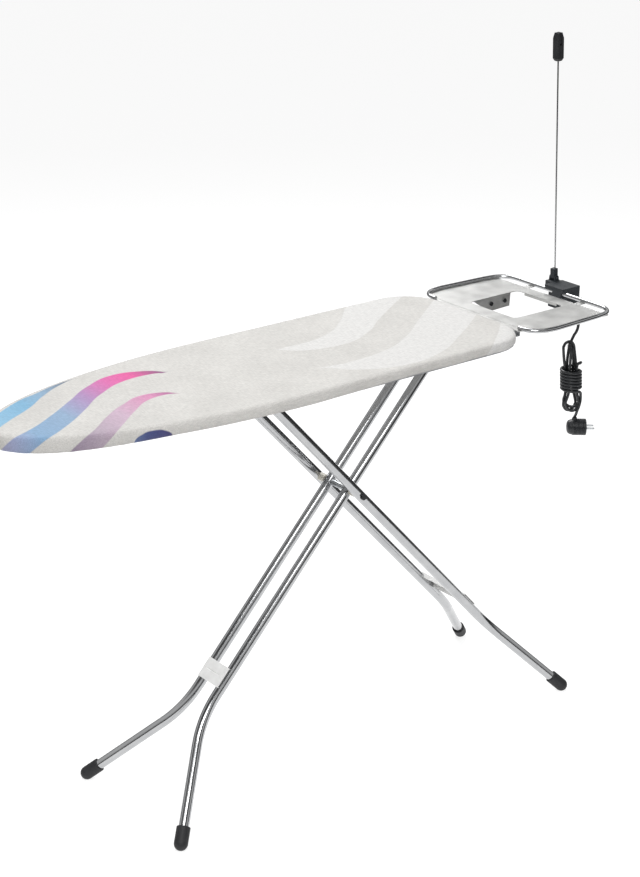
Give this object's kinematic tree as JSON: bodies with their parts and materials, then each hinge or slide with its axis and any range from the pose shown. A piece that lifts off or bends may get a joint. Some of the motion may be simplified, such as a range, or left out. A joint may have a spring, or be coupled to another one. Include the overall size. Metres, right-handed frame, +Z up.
{
  "type": "ironing board",
  "caption": "Folding ironing board with crossed tube legs, padded cloth cover, metal iron rest, mains socket with stowed lead and an upright lead rod.",
  "frame": {"origin": "centre of the board's footprint on the floor, under the middle of the overall length", "axes": "+X from the nose to the iron rest, +Y to the side away from the release lever, +Z up"},
  "size_m": [1.555, 0.394, 1.4876],
  "materials": {
    "cover_cloth": "plain-weave cotton cover, pale warm grey with a printed wave pattern at the nose",
    "felt": "needled polyester felt",
    "zinc_steel": "zinc-plated pressed steel",
    "chrome_tube": "bright chromed steel tube",
    "rest_sheet": "satin stainless sheet",
    "black_rubber": "moulded rubber, matt",
    "slate_plastic": "moulded dark slate plastic, fine grain",
    "dark_steel": "black-zinc steel",
    "nylon": "natural nylon",
    "brass_clip": "pressed brass contact",
    "lead_pvc": "black PVC sheath, satin"
  },
  "bodies": {
    "board": {"edge_rail": "zinc_steel", "mesh_top": "zinc_steel", "cross_ribs": "zinc_steel", "felt_pad": "felt", "cover": "cover_cloth", "hem_cord": "cover_cloth", "pivot_ear_left": "zinc_steel", "pivot_ear_right": "zinc_steel", "ear_rivets": "dark_steel", "pivot_pin": "dark_steel", "pivot_nut": "dark_steel", "guide_wire_left": "zinc_steel", "guide_wire_right": "zinc_steel", "guide_posts": "zinc_steel", "height_rack": "zinc_steel", "lever_saddles": "slate_plastic", "lever_spring": "zinc_steel", "rest_rim": "chrome_tube", "rest_tray": "rest_sheet", "rest_rivets": "dark_steel", "rest_arm_left": "zinc_steel", "rest_arm_right": "zinc_steel", "rest_bolts": "dark_steel", "socket_housing": "slate_plastic", "socket_face": "slate_plastic", "earth_clips": "brass_clip", "rim_clamp": "slate_plastic", "clamp_screws": "zinc_steel", "clevis_pin": "zinc_steel", "strain_relief": "lead_pvc", "lead_drop": "lead_pvc", "lead_hank": "lead_pvc", "lead_tail": "lead_pvc", "plug_body": "lead_pvc", "plug_pins": "zinc_steel"},
    "inner_leg": {"inner_tube_left": "chrome_tube", "inner_tube_right": "chrome_tube", "inner_brace": "zinc_steel", "inner_plugs": "slate_plastic", "inner_feet": "black_rubber", "inner_sleeve": "zinc_steel", "pivot_sleeve": "zinc_steel"},
    "outer_leg": {"outer_tube_left": "chrome_tube", "outer_tube_right": "chrome_tube", "outer_brace": "zinc_steel", "outer_plugs": "slate_plastic", "outer_feet": "black_rubber", "sliding_bar": "zinc_steel", "bar_rollers": "nylon", "cross_bolt": "dark_steel", "cross_nut": "dark_steel", "cross_spacers": "slate_plastic"},
    "release_lever": {"lever_rod": "zinc_steel", "lever_catch": "zinc_steel", "lever_grip": "slate_plastic"},
    "lead_mast": {"rod_knuckle": "slate_plastic", "lead_rod": "chrome_tube", "lead_clip": "slate_plastic"}
  },
  "joints": [
    {"name": "leg_fold", "type": "hinge", "parent": "board", "child": "inner_leg", "pos_m": [0.32975, 0, 0.8773], "axis": [0, 1, 0], "range_deg": [0, 45.43]},
    {"name": "leg_cross", "type": "hinge", "parent": "inner_leg", "child": "outer_leg", "pos_m": [0.07286, 0, 0.5996], "axis": [0, -1, 0], "range_deg": [0, 90.96]},
    {"name": "lever_release", "type": "hinge", "parent": "board", "child": "release_lever", "pos_m": [-0.24203, 0, 0.8973], "axis": [0, -1, 0], "range_deg": [0, 12], "stiffness_Nm_per_rad": 1.5, "springref_deg": -20.05},
    {"name": "mast_fold", "type": "hinge", "parent": "board", "child": "lead_mast", "pos_m": [0.74125, 0.045, 0.929], "axis": [0, -1, 0], "range_deg": [0, 86.7]}
  ],
  "couplings": [
    {"joint": "leg_cross", "follows": "leg_fold", "ratio": 2}
  ]
}
